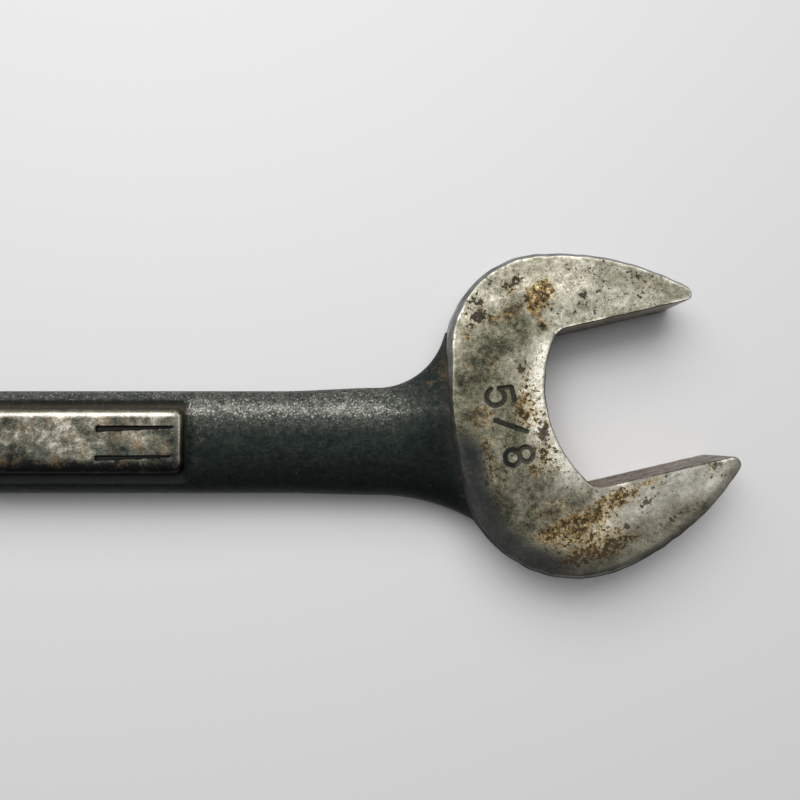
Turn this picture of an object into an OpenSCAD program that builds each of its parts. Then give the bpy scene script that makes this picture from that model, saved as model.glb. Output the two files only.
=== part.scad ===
// Combination wrench for a 5/8 inch hexagon: an open end at a slant and a
// twelve-point box end that is tipped up, on a flat forged shank with a raised
// panel on each side. It is one forging, and each node is a region of it.
// Millimetres. +X runs along the shank towards the open end and +Z is up. The
// origin is at the middle of the bounding box, on the surface it lies on.

/* [Open end] */
// Distance across the jaw flats, for a 5/8 inch hexagon
jaw_opening = 16.05; // [15.9:0.05:16.3]
// Angle between the jaws and the shank, in degrees
jaw_angle = 13; // [8:1:18]
// Height of the jaws' centre above the shank's centre line
jaw_rise = 5; // [3.4:0.2:6]
// Thickness of the open-end head
head_t = 7.5; // [7:0.1:8.5]
// Width of the open-end head across both jaws
head_w = 33.2; // [32.2:0.2:34]
// How far the head's middle lies below the middle of the jaws' gap
head_drop = 0.25; // [0:0.05:0.6]
// Length of the head behind the jaws' centre
head_back = 20.1; // [19.6:0.1:20.8]
// Depth of the throat behind the jaws' centre
throat_depth = 10.4; // [9.6:0.1:10.9]

/* [Shank] */
// Distance between the centres of the two ends, along the shank
centre_distance = 177; // [170:1:190]
// Width of the shank
shank_w = 10.5; // [9.8:0.1:11.2]
// Thickness of the shank
shank_t = 5.6; // [5:0.1:6]
// Length of each raised panel
panel_l = 88; // [60:1:92]
// Width of each raised panel
panel_w = 6.5; // [5.6:0.1:6.8]
// Height of each panel's face above the shank's mid-plane
panel_z = 3.1; // [2.9:0.05:3.3]

/* [Box end] */
// Distance across flats of the twelve-point opening
box_opening = 16.05; // [15.9:0.05:16.3]
// Outside diameter of the ring
ring_d = 24.4; // [23.6:0.1:26]
// Thickness of the ring
ring_t = 9.4; // [8.5:0.1:10.5]
// Tilt of the ring away from the shank, in degrees
ring_tilt = 15; // [12:1:17]

/* [Hidden] */
$fn = 72;

slab = 0.01;      // thickness of a slice that a hull is spanned from
past = 1;         // how far a cutter runs past what it cuts

// Open end, in the jaws' own frame: [along the jaws, across them]. Side is 1
// for the upper jaw and -1 for the lower, which is drawn as its mirror image.
back_r = 60;      // shallow arc across the back of the head
back_drop = 4.8;  // how far its centre lies below the middle of the gap
upper_corner_r = 9.7; // arcs from the back to the jaws' outer sides
lower_corner_r = 11.2;
jaw_r = 27.2;     // arcs along the jaws' outer sides
jaw_r_x = -11.8;  // where those arcs are widest
tip_r = 0.85;     // round of each jaw's tip
throat_r = 12.7;  // arc across the bottom of the throat
throat_corner_r = 2;
edge_h = (head_t - shank_t) / 2; // eased edges start level with the shank
edge_in = 0.8;    // how far the faces stand in from the outside

jaw_half = jaw_opening / 2;
throat_c = [throat_r - throat_depth, 0];
throat_corner_c = [
    throat_c.x - sqrt(pow(throat_r - throat_corner_r, 2)
                      - pow(jaw_half - throat_corner_r, 2)),
    jaw_half - throat_corner_r
];

// Shank, with round edges, and the neck that flares into the head
edge_r = shank_t / 2;
neck_x = -28;         // where the shank starts to flare
neck_end_x = -14.5;   // inside the head
neck_top_r = 8.4;     // fillet on the short side of the flare
neck_low_r = 20.5;    // fillet on the long side
neck_top_y = 12;      // how far the flare climbs each side of the head
neck_low_y = -9;
panel_x = -46.1;      // the panel's end nearest the open end
panel_r = 1.2;        // its corners
seat_gap = 0.5;       // flat floor left round the panel
seat_z = 2.2;         // height of that floor
groove = [8, 0.5, 0.4];
groove_y = 1.55;
groove_in = 0.8;      // from the panel's end to its two grooves

// Box end
ring_edge = 0.8;      // rounded edge of the ring, as a chamfer
ring_draft = 0.2;     // how much narrower the ring is at that edge
hex_corner_r = box_opening / 2 / cos(30);
lead_in = 0.7;        // chamfer at each mouth of the opening
ring_rim_r = ring_d / 2 - ring_draft - ring_edge;
ring_rise = ring_rim_r * sin(ring_tilt) + ring_t / 2 * cos(ring_tilt) - head_t / 2;
ring_x = -centre_distance;
box_neck_x = ring_x + 21; // where the shank starts to widen to the ring
box_neck_r = 9.6;
box_neck_t = 6.6;

// The origin, from the furthest reach of each end
x_max = max_reach(tip_c(-1), tip_r, [cos(jaw_angle), sin(jaw_angle)]);
x_min = ring_x - (ring_d / 2 - ring_draft) * cos(ring_tilt)
        - (ring_t / 2 - ring_edge) * sin(ring_tilt);
y_max = jaw_rise + max_reach(jaw_c(1), jaw_r, [sin(jaw_angle), cos(jaw_angle)]);
y_min = jaw_rise
        - max_reach(corner_c(-1), corner_r(-1), [-sin(jaw_angle), cos(jaw_angle)]);
origin = [(x_min + x_max) / 2, (y_min + y_max) / 2, -head_t / 2];

// Where a circle's edge lies furthest along a direction
function max_reach(c, r, d) = c * d + r;

// The point at r1 from c1 and r2 from c2, on the left going from c1 to c2
function meet(c1, r1, c2, r2) =
    let (d = c2 - c1, l = norm(d),
         a = (r1 * r1 - r2 * r2 + l * l) / (2 * l),
         h = sqrt(r1 * r1 - a * a))
    c1 + a * d / l + h * [d.y, -d.x] / l;

// The point at distance r from c, at height y and to its right
function beside(c, r, y) = [c.x + sqrt(r * r - pow(y - c.y, 2)), y];

// The direction of d, from 0 to 360 degrees
function heading(d) = (atan2(d.y, d.x) + 360) % 360;

function arc(c, r, from, to, steps = 16) =
    [for (i = [0:steps])
        let (a = from + (to - from) * i / steps) c + r * [cos(a), sin(a)]];

// Centres of the arcs on one side of the head
function back_c(side) = [back_r - head_back, -side * back_drop];

function jaw_c(side) = [jaw_r_x, head_w / 2 - jaw_r - side * head_drop];

function corner_r(side) = side > 0 ? upper_corner_r : lower_corner_r;

function corner_c(side) =
    meet(back_c(side), back_r - corner_r(side), jaw_c(side), jaw_r - corner_r(side));

function tip_c(side) = beside(jaw_c(side), jaw_r - tip_r, jaw_half + tip_r);

// Outside of one side of the head, from the back to the tip
function head_side(side) =
    let (back = back_c(side), corner = corner_c(side),
         jaw = jaw_c(side), tip = tip_c(side))
    concat(
        arc(back, back_r, 180 - side * asin(back_drop / back_r), heading(corner - back), 4),
        arc(corner, corner_r(side), heading(corner - back), heading(corner - jaw)),
        arc(jaw, jaw_r, heading(corner - jaw), heading(tip - jaw)),
        arc(tip, tip_r, heading(tip - jaw), 0)
    );

// One side of the gap, from the bottom of the throat to past the tip
function gap_side(side) =
    let (tip = tip_c(side))
    concat(
        arc(throat_c, throat_r, 180, heading(throat_corner_c - throat_c)),
        arc(throat_corner_c, throat_corner_r, heading(throat_corner_c - throat_c), 90),
        arc(tip, tip_r, -90, 0),
        [[tip.x + 5 * tip_r, tip.y]]
    );

// One closed loop from both sides' points
function loop(upper, lower) =
    concat(upper, [for (i = [len(lower) - 1:-1:0]) [lower[i].x, -lower[i].y]]);

// Outside of the head, with the jaws' gap filled in
module head_outline() {
    polygon(loop(head_side(1), head_side(-1)));
}

module gap_outline() {
    polygon(loop(gap_side(1), gap_side(-1)));
}

// The head before its jaws are cut, with eased edges
module head_blank() {
    hull() {
        linear_extrude(head_t - 2 * edge_h, center = true)
            head_outline();
        linear_extrude(head_t, center = true)
            offset(delta = -edge_in)
                head_outline();
    }
}

module open_head() {
    difference() {
        head_blank();
        linear_extrude(head_t + 2 * past, center = true)
            gap_outline();
    }
}

// From the bounding box's frame to the shank's centre line
module placed() {
    translate(-origin)
        children();
}

module in_jaws() {
    translate([0, jaw_rise, 0])
        rotate([0, 0, jaw_angle])
            children();
}

// One jaw: the head ahead of the throat, on one side of the gap
module jaw(side) {
    in_jaws()
        intersection() {
            open_head();
            translate([throat_corner_c.x, side > 0 ? 0 : -head_w, -head_t])
                cube([head_w, head_w, 2 * head_t]);
        }
}

module upper_jaw() {
    color("silver")
        placed()
            jaw(1);
}

module lower_jaw() {
    color("silver")
        placed()
            jaw(-1);
}

module throat() {
    color("silver")
        placed()
            in_jaws()
                intersection() {
                    open_head();
                    translate([throat_corner_c.x - head_w, -head_w, -head_t])
                        cube([head_w, 2 * head_w, 2 * head_t]);
                }
}

// Takes a concave fillet of radius r, with a round edge, out of the neck
module fillet_cutter(r) {
    rotate_extrude($fn = 120)
        difference() {
            translate([0, -shank_t])
                square([r + edge_r, 2 * shank_t]);
            translate([r + edge_r, 0])
                circle(edge_r);
        }
}

module open_end_neck() {
    color("dimgray")
        placed()
            difference() {
                translate([neck_x, neck_low_y, -shank_t / 2])
                    cube([neck_end_x - neck_x, neck_top_y - neck_low_y, shank_t]);
                translate([neck_x, shank_w / 2 + neck_top_r, 0])
                    fillet_cutter(neck_top_r);
                translate([neck_x, -shank_w / 2 - neck_low_r, 0])
                    fillet_cutter(neck_low_r);
                in_jaws()
                    linear_extrude(2 * shank_t, center = true)
                        head_outline();
            }
}

// Cross-section of the shank: flat faces and half-round edges
module shank_section() {
    square([shank_w - shank_t, shank_t], center = true);
    for (side = [-1, 1])
        translate([side * (shank_w - shank_t) / 2, 0])
            circle(edge_r);
}

module shank_bar(from_x, to_x) {
    translate([from_x, 0, 0])
        rotate([90, 0, 90])
            linear_extrude(to_x - from_x)
                shank_section();
}

// A rectangle with round corners, from x = -l to x = 0
module panel_outline(l, w, r) {
    translate([-l, -w / 2 + r])
        square([l, w - 2 * r]);
    translate([r - l, -w / 2])
        square([l - 2 * r, w]);
    for (x = [r - l, -r], side = [-1, 1])
        translate([x, side * (w / 2 - r)])
            circle(r);
}

module shank() {
    color("dimgray")
        placed()
            difference() {
                shank_bar(box_neck_x, neck_x);
                for (side = [-1, 1])
                    mirror([0, 0, side > 0 ? 0 : 1])
                        translate([panel_x + seat_gap, 0, seat_z])
                            linear_extrude(shank_t)
                                panel_outline(panel_l + 2 * seat_gap,
                                              panel_w + 2 * seat_gap,
                                              panel_r + seat_gap);
            }
}

// A raised panel with two grooves cut in each end of its face
module panel() {
    difference() {
        translate([panel_x, 0, seat_z])
            linear_extrude(panel_z - seat_z)
                panel_outline(panel_l, panel_w, panel_r);
        for (x = [panel_x - groove_in - groove.x, panel_x - panel_l + groove_in],
             side = [-1, 1])
            translate([x, side * groove_y - groove.y / 2, panel_z - groove.z])
                cube([groove.x, groove.y, groove.z + past]);
    }
}

module front_panel() {
    color("lightgray")
        placed()
            panel();
}

module back_panel() {
    color("lightgray")
        placed()
            mirror([0, 0, 1])
                panel();
}

module in_ring() {
    translate([ring_x, 0, ring_rise])
        rotate([0, ring_tilt, 0])
            children();
}

// The ring with its opening filled in
module ring_blank() {
    half_t = ring_t / 2;
    rotate_extrude($fn = 120)
        polygon([
            [0, -half_t],
            [ring_rim_r, -half_t],
            [ring_d / 2 - ring_draft, -half_t + ring_edge],
            [ring_d / 2, 0],
            [ring_d / 2 - ring_draft, half_t - ring_edge],
            [ring_rim_r, half_t],
            [0, half_t]
        ]);
}

// Two hexagons, half a step apart, make the twelve points
module twelve_points() {
    for (turn = [0, 30])
        rotate([0, 0, turn])
            circle(hex_corner_r, $fn = 6);
}

module box_end_ring() {
    mouth_r = hex_corner_r + 0.2;
    color("silver")
        placed()
            in_ring()
                difference() {
                    ring_blank();
                    linear_extrude(ring_t + 2 * past, center = true)
                        twelve_points();
                    for (side = [0, 1])
                        mirror([0, 0, side])
                            translate([0, 0, ring_t / 2 - lead_in])
                                cylinder(r1 = mouth_r - lead_in, r2 = mouth_r, h = lead_in + slab);
                }
}

module box_end_neck() {
    color("dimgray")
        placed()
            difference() {
                hull() {
                    shank_bar(box_neck_x - slab, box_neck_x);
                    in_ring()
                        cylinder(r = box_neck_r, h = box_neck_t, center = true, $fn = 32);
                }
                in_ring()
                    ring_blank();
            }
}

upper_jaw();
lower_jaw();
throat();
open_end_neck();
shank();
front_panel();
back_panel();
box_end_neck();
box_end_ring();
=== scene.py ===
"""Looks of a 5/8 inch combination wrench, one forging in steel: bright ground faces, dark forged shank.

Shapes are worked out in millimetres in the shank's own frame: x along the shank with the jaws' centre
at 0, y across it from its centre line, z up from its mid-plane. They are moved into the row frame as
they are built.
"""

import math

import bpy
import numpy as np
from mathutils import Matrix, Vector
from mathutils.geometry import delaunay_2d_cdt


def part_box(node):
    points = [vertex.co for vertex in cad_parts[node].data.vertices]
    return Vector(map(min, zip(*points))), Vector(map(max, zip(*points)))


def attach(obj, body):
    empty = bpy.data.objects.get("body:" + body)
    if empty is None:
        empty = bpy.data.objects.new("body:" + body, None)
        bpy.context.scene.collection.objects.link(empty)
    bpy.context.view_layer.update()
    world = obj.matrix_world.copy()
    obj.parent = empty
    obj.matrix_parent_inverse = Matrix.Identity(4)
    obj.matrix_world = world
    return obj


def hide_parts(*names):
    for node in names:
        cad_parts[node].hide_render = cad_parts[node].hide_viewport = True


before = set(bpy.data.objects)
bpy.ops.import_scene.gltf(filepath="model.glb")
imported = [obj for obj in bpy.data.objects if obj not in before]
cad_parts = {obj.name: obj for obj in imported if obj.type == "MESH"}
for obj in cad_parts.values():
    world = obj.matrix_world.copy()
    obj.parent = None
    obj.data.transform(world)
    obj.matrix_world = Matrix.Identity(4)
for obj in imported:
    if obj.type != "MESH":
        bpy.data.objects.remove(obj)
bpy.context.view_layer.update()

MM = 0.001
RNG = np.random.default_rng(58)

# Main sizes, the same as the CAD part's
JAW_ANGLE = math.radians(13)
JAW_RISE = 5.0
JAW_HALF = 16.05 / 2
HEAD_T = 7.5
SHANK_T = 5.6
SHANK_HALF_W = 5.25
NECK_X = -28.0
RING_X = -177.0
RING_TILT = math.radians(15)
RING_R = 12.2
RING_T = 9.4
RING_RIM_R = RING_R - 1.0

# Where the row frame's origin lies in the shank's frame
_shank_lo, _shank_hi = (np.array(c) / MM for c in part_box("shank"))
ORIGIN = np.array([
    NECK_X - _shank_hi[0],
    -(_shank_lo[1] + _shank_hi[1]) / 2,
    -(_shank_lo[2] + _shank_hi[2]) / 2,
])
RING_RISE = RING_RIM_R * math.sin(RING_TILT) + RING_T / 2 * math.cos(RING_TILT) - HEAD_T / 2


# ---------------------------------------------------------------- small tools


def smooth(x, lo, hi):
    """A soft step from 0 at lo to 1 at hi. It falls instead when lo is the larger."""
    t = np.clip((np.asarray(x, float) - lo) / (hi - lo), 0, 1)
    return t * t * (3 - 2 * t)


def from_jaws(q):
    """Points from the jaws' frame, along the jaws and across them, to the shank's frame."""
    c, s = math.cos(JAW_ANGLE), math.sin(JAW_ANGLE)
    return np.stack([q[:, 0] * c - q[:, 1] * s, JAW_RISE + q[:, 0] * s + q[:, 1] * c], 1)


class Waves:
    """Smooth random undulation: a few plane waves of about one length, from -1 to 1."""

    def __init__(self, length, n=14):
        a = RNG.uniform(0, 2 * math.pi, n)
        k = 2 * math.pi / (length * RNG.uniform(0.7, 1.5, n))
        self.k = np.stack([np.cos(a), np.sin(a)], 1) * k[:, None]
        self.phase = RNG.uniform(0, 2 * math.pi, n)

    def __call__(self, p):
        return np.cos(p[:, :2] @ self.k.T + self.phase).sum(1) / math.sqrt(len(self.phase)) / 1.5


def segment_distance(p, a, b):
    """Distance of each point to each segment's nearest point, as points by segments."""
    ab = b - a
    t = ((p[:, None, :] - a[None]) * ab[None]).sum(2) / np.maximum((ab * ab).sum(1), 1e-12)
    near = a[None] + np.clip(t, 0, 1)[:, :, None] * ab[None]
    return np.linalg.norm(p[:, None, :] - near, axis=2)


def loop_distance(p, loop, chunk=2000):
    """Distance from each point to a closed loop."""
    a, b = loop, np.roll(loop, -1, 0)
    parts = [segment_distance(p[i : i + chunk], a, b).min(1) for i in range(0, len(p), chunk)]
    return np.concatenate(parts)


def inside(p, loop):
    """Whether each point lies inside a closed loop."""
    x, y = p[:, 0][:, None], p[:, 1][:, None]
    x0, y0 = loop[:, 0][None], loop[:, 1][None]
    x1, y1 = np.roll(loop[:, 0], -1)[None], np.roll(loop[:, 1], -1)[None]
    run = np.where(y1 == y0, 1e-12, y1 - y0)
    crosses = ((y0 > y) != (y1 > y)) & (x < (x1 - x0) * (y - y0) / run + x0)
    return crosses.sum(1) % 2 == 1


def arc(c, r, start, end, step=0.2):
    """Points on an arc from one heading to another, in degrees, without the last."""
    n = max(3, int(abs(math.radians(end - start)) * r / step))
    a = np.radians(start + (end - start) * np.arange(n) / n)
    return np.stack([c[0] + r * np.cos(a), c[1] + r * np.sin(a)], 1)


def heading(d):
    """A direction's angle in degrees."""
    return math.degrees(math.atan2(d[1], d[0]))


def line(a, b, step=0.25):
    """Points on a straight line, without the last."""
    n = max(1, int(math.dist(a, b) / step))
    t = (np.arange(n) / n)[:, None]
    return np.array(a)[None] * (1 - t) + np.array(b)[None] * t


def build(name, verts, faces, material, replaces, attributes=(), sharp=40):
    """Makes one piece from points in millimetres, with its painted masks as point attributes."""
    mesh = bpy.data.meshes.new(name)
    mesh.from_pydata(((np.asarray(verts) - ORIGIN) * MM).tolist(), [], faces)
    mesh.validate()
    mesh.update()
    for key, values in dict(attributes).items():
        layer = mesh.attributes.new(key, "FLOAT", "POINT")
        layer.data.foreach_set("value", np.asarray(values, np.float32))
    mesh.shade_smooth()
    mesh.set_sharp_from_angle(angle=math.radians(sharp))
    obj = bpy.data.objects.new(name, mesh)
    bpy.context.scene.collection.objects.link(obj)
    obj.data.materials.append(material)
    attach(obj, "root")
    if replaces:
        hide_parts(*replaces)
    return obj


# ---------------------------------------------------------------- materials


class Nodes:
    """Builds a procedural material. Lengths are in millimetres, in the object's own frame."""

    def __init__(self, name):
        self.m = bpy.data.materials.new(name)
        self.m.use_nodes = True
        self.t = self.m.node_tree
        self.t.nodes.clear()
        out = self.t.nodes.new("ShaderNodeOutputMaterial")
        self.bsdf = self.t.nodes.new("ShaderNodeBsdfPrincipled")
        self.t.links.new(self.bsdf.outputs[0], out.inputs[0])
        coord = self.t.nodes.new("ShaderNodeTexCoord")
        scale = self.t.nodes.new("ShaderNodeVectorMath")
        scale.operation = "SCALE"
        scale.inputs["Scale"].default_value = 1 / MM
        self.t.links.new(coord.outputs["Object"], scale.inputs[0])
        self.p = scale.outputs[0]

    def put(self, socket, value):
        """Links a socket to another one, or gives it a plain value."""
        if isinstance(value, bpy.types.NodeSocket):
            self.t.links.new(value, socket)
        elif isinstance(value, (tuple, list)) and len(value) == 3 and len(socket.default_value) == 4:
            socket.default_value = (*value, 1)
        else:
            socket.default_value = value

    def math(self, op, a, b=0.0):
        n = self.t.nodes.new("ShaderNodeMath")
        n.operation = op
        self.put(n.inputs[0], a)
        self.put(n.inputs[1], b)
        return n.outputs[0]

    def add(self, a, b):
        return self.math("ADD", a, b)

    def mul(self, a, b):
        return self.math("MULTIPLY", a, b)

    def most(self, a, b):
        return self.math("MAXIMUM", a, b)

    def sway(self, noise, amount):
        """A noise's swing about its middle, times an amount."""
        return self.mul(self.add(noise, -0.5), amount)

    def step(self, x, lo, hi):
        """A soft step from 0 at lo to 1 at hi."""
        n = self.t.nodes.new("ShaderNodeMapRange")
        n.interpolation_type = "SMOOTHSTEP"
        for key, v in (("From Min", lo), ("From Max", hi), ("To Min", 0.0), ("To Max", 1.0)):
            n.inputs[key].default_value = v
        self.put(n.inputs["Value"], x)
        return n.outputs["Result"]

    def mix(self, f, a, b):
        """From colour a to colour b."""
        n = self.t.nodes.new("ShaderNodeMix")
        n.data_type = "RGBA"
        self.put(n.inputs[0], f)
        self.put(n.inputs[6], a)
        self.put(n.inputs[7], b)
        return n.outputs[2]

    def ramp(self, x, stops):
        """A colour ramp whose stops may lie anywhere."""
        lo, hi = stops[0][0], stops[-1][0]
        scaled = self.math("DIVIDE", self.add(x, -lo), hi - lo)
        n = self.t.nodes.new("ShaderNodeValToRGB")
        self.put(n.inputs[0], scaled)
        while len(n.color_ramp.elements) < len(stops):
            n.color_ramp.elements.new(0.5)
        for element, (at, colour) in zip(n.color_ramp.elements, stops):
            element.position = (at - lo) / (hi - lo)
            element.color = (*colour, 1)
        return n.outputs[0]

    def blend(self, f, a, b):
        """From number a to number b."""
        n = self.t.nodes.new("ShaderNodeMix")
        n.data_type = "FLOAT"
        self.put(n.inputs[0], f)
        self.put(n.inputs[2], a)
        self.put(n.inputs[3], b)
        return n.outputs[0]

    def noise(self, size, detail, rough, seed, warp=0.0):
        """Noise with lumps of about one size in millimetres. Each seed reads another part of it."""
        shift = self.t.nodes.new("ShaderNodeVectorMath")
        shift.operation = "ADD"
        self.put(shift.inputs[0], self.p)
        shift.inputs[1].default_value = (17.3 * seed, -9.1 * seed, 5.7 * seed)
        n = self.t.nodes.new("ShaderNodeTexNoise")
        self.put(n.inputs["Vector"], shift.outputs[0])
        n.inputs["Scale"].default_value = 1 / size
        n.inputs["Detail"].default_value = detail
        n.inputs["Roughness"].default_value = rough
        n.inputs["Distortion"].default_value = warp
        return n.outputs["Fac"]

    def attr(self, name):
        """A painted mask."""
        n = self.t.nodes.new("ShaderNodeAttribute")
        n.attribute_name = name
        return n.outputs["Fac"]

    def bump(self, height, distance_mm, strength):
        n = self.t.nodes.new("ShaderNodeBump")
        n.inputs["Distance"].default_value = distance_mm * MM
        n.inputs["Strength"].default_value = strength
        self.put(n.inputs["Height"], height)
        return n.outputs[0]

    def surface(self, colour, rough, metal, normal):
        self.put(self.bsdf.inputs["Base Color"], colour)
        self.put(self.bsdf.inputs["Roughness"], rough)
        self.put(self.bsdf.inputs["Metallic"], metal)
        self.put(self.bsdf.inputs["Normal"], normal)
        return self.m


# Colour ramps, from dark to light: where each stop lies and its colour
PATINA = ((0.0, (0.026, 0.026, 0.016)), (0.25, (0.096, 0.094, 0.060)), (0.50, (0.215, 0.203, 0.146)),
          (0.75, (0.375, 0.355, 0.280)), (1.0, (0.56, 0.535, 0.445)), (1.3, (0.90, 0.875, 0.77)))
OCHRE = ((0.1, (0.030, 0.016, 0.005)), (0.42, (0.16, 0.090, 0.016)), (0.72, (0.38, 0.25, 0.065)),
         (1.0, (0.66, 0.53, 0.27)), (1.3, (0.92, 0.85, 0.66)))
SCALE = ((0.0, (0.008, 0.012, 0.010)), (0.15, (0.016, 0.023, 0.020)), (0.35, (0.034, 0.042, 0.036)),
         (0.60, (0.083, 0.088, 0.077)), (1.0, (0.21, 0.212, 0.188)), (1.5, (0.60, 0.60, 0.54)))
STAINED = ((-0.3, (0.012, 0.013, 0.013)), (0.0, (0.050, 0.055, 0.044)), (0.28, (0.115, 0.118, 0.092)),
           (0.55, (0.24, 0.225, 0.175)), (0.80, (0.50, 0.475, 0.40)), (1.1, (0.84, 0.81, 0.73)))
# painted shade colour for the rolled lower edges
LOW_EDGE_SHADE_COLOUR = (0.030, 0.037, 0.042)


def ground_steel():
    """Ground faces of the ends: worn bright, with patina, stains and rust pits, painted shade on the lower
    edges and a painted highlight on the upper edge, all by painted masks.
    """
    g = Nodes("ground_steel")
    wall, tone, amber = g.attr("wall"), g.attr("tone"), g.attr("amber")
    pits, spots, low_edge_shade, groove = g.attr("pits"), g.attr("spots"), g.attr("low_edge_shade"), g.attr("groove")
    middle = g.noise(2.3, 8, 0.72, seed=2, warp=0.3)
    fine = g.noise(0.55, 6, 0.78, seed=3)
    grain = g.noise(0.13, 3, 0.75, seed=4)
    # from patina to worn steel, with torn edges
    t = g.add(tone, g.sway(middle, 1.35))
    t = g.add(t, g.sway(fine, 1.45))
    t = g.add(t, g.sway(grain, 0.8))
    colour = g.ramp(t, PATINA)
    # dark torn specks, dense where the mask is high, with golden rims and stains
    tint = g.noise(0.8, 7, 0.8, seed=5)
    speck = g.add(g.noise(0.40, 4, 0.66, seed=6), g.mul(pits, 0.155))
    dust = g.add(g.noise(0.17, 3, 0.7, seed=7), g.mul(pits, 0.11))
    stained = g.step(g.most(pits, amber), 0.14, 0.42)
    rim = g.mul(g.step(g.add(speck, g.mul(amber, 0.11)), 0.585, 0.655), stained)
    wash = g.mul(g.step(g.add(amber, g.sway(tint, 2.6)), 0.25, 0.8), 0.86)
    stain = g.most(g.mul(rim, 0.95), wash)
    gold = g.add(g.mul(t, 0.90), g.sway(fine, 1.9))
    gold = g.add(gold, g.add(g.sway(grain, 0.9), g.mul(wash, -0.20)))
    colour = g.mix(stain, colour, g.ramp(gold, OCHRE))
    # painted shade on the rolled lower edges, in a dark blue-grey
    edge_shading = g.mul(g.step(g.add(low_edge_shade, g.sway(fine, 1.6)), 0.1, 1.0), 0.84)
    colour = g.mix(edge_shading, colour, LOW_EDGE_SHADE_COLOUR)
    # the specks' dark middles: some broad, many small, and a few large spots
    few = g.step(g.add(speck, g.mul(amber, 0.03)), 0.652, 0.682)
    small = g.step(dust, 0.655, 0.695)
    torn = g.add(g.sway(speck, 3.2), g.sway(fine, 1.6))
    big = g.step(g.add(spots, torn), 0.62, 0.76)
    pit = g.most(g.most(few, g.mul(small, 0.7)), big)
    crust = g.step(g.noise(0.40, 4, 0.8, seed=8), 0.35, 0.65)
    rust = g.mix(crust, (0.009, 0.006, 0.003), (0.046, 0.025, 0.009))
    colour = g.mix(g.mul(pit, 0.90), colour, rust)
    # walls: darker steel, with painted shade at the lower back, brown between the jaws
    side = g.mix(g.step(middle, 0.4, 0.65), (0.13, 0.132, 0.127), (0.25, 0.247, 0.232))
    side = g.mix(g.mul(low_edge_shade, 0.95), side, (0.018, 0.021, 0.023))
    brown = g.step(g.add(fine, g.sway(middle, 0.8)), 0.42, 0.60)
    inner = g.mix(brown, (0.105, 0.072, 0.044), (0.27, 0.235, 0.19))
    colour = g.mix(wall, colour, g.mix(g.attr("inner"), side, inner))
    colour = g.mix(g.mul(groove, 0.86), colour, (0.018, 0.017, 0.013))
    bright = g.step(t, 0.7, 1.1)
    sunk = g.most(pit, groove)
    rough = g.blend(bright, g.add(0.44, g.mul(middle, 0.12)), 0.34)
    rough = g.blend(low_edge_shade, rough, 0.68)
    rough = g.blend(sunk, rough, 0.85)
    metal = g.blend(g.most(sunk, g.mul(stain, 0.6)), 0.85, 0.05)
    # the walls under the painted shade are dull, with no mirror of the floor at a grazing view
    dull = g.mul(low_edge_shade, wall)
    rough = g.blend(dull, rough, 1.0)
    metal = g.blend(dull, metal, 0.0)
    height = g.add(g.mul(fine, 0.45), g.mul(grain, 0.35))
    height = g.add(height, g.mul(pit, -0.9))
    return g.surface(colour, rough, metal, g.bump(height, 0.05, 0.7))


def forged_steel():
    """The shank: dark oiled scale with a coarse grain, with a painted sheen where the round top turns to the
    light, painted glints in it, and painted shade in the channel and at the head.
    """
    g = Nodes("forged_steel")
    coarse = g.noise(0.60, 4, 0.7, seed=11)
    grain = g.noise(0.20, 3, 0.75, seed=12)
    broad = g.noise(5.0, 6, 0.7, seed=13)
    hollow, painted_sheen = g.attr("hollow"), g.attr("painted_sheen")
    # the scale lightens with the painted sheen across the round top
    speckle = g.add(g.sway(grain, 1.5), g.sway(coarse, 1.7))
    t = g.add(painted_sheen, g.mul(speckle, g.add(g.mul(painted_sheen, 1.0), 0.24)))
    t = g.add(t, g.mul(g.sway(broad, 0.7), g.add(painted_sheen, 0.1)))
    colour = g.ramp(t, SCALE)
    wear_and_highlight = g.step(t, 0.5, 1.2)
    # painted shade in the channel and at the head: near black, dark brown where the painted sheen is
    lit_share = g.step(g.add(painted_sheen, g.mul(speckle, 0.25)), 0.02, 0.32)
    shade = g.mix(lit_share, (0.003, 0.004, 0.0035), (0.040, 0.030, 0.018))
    colour = g.mix(g.mul(hollow, 0.85), colour, shade)
    rust = g.step(g.add(g.attr("rusty"), g.sway(coarse, 2.6)), 0.45, 0.75)
    crust = g.mix(g.step(grain, 0.35, 0.6), (0.016, 0.010, 0.005), (0.125, 0.078, 0.038))
    colour = g.mix(g.mul(rust, 0.8), colour, crust)
    # painted glints: bright flecks where the painted sheen is
    glint = g.step(g.add(g.noise(0.24, 2, 0.6, seed=14), g.mul(painted_sheen, 0.15)), 0.675, 0.74)
    colour = g.mix(g.mul(glint, g.step(painted_sheen, 0.2, 0.75)), colour, (0.44, 0.45, 0.38))
    dull = g.most(rust, hollow)
    rough = g.blend(dull, g.blend(wear_and_highlight, 0.55, 0.40), 0.8)
    metal = g.blend(dull, 0.85, 0.1)
    height = g.add(g.mul(coarse, 0.7), g.mul(grain, 0.6))
    return g.surface(colour, rough, metal, g.bump(height, 0.16, 0.9))


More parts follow.
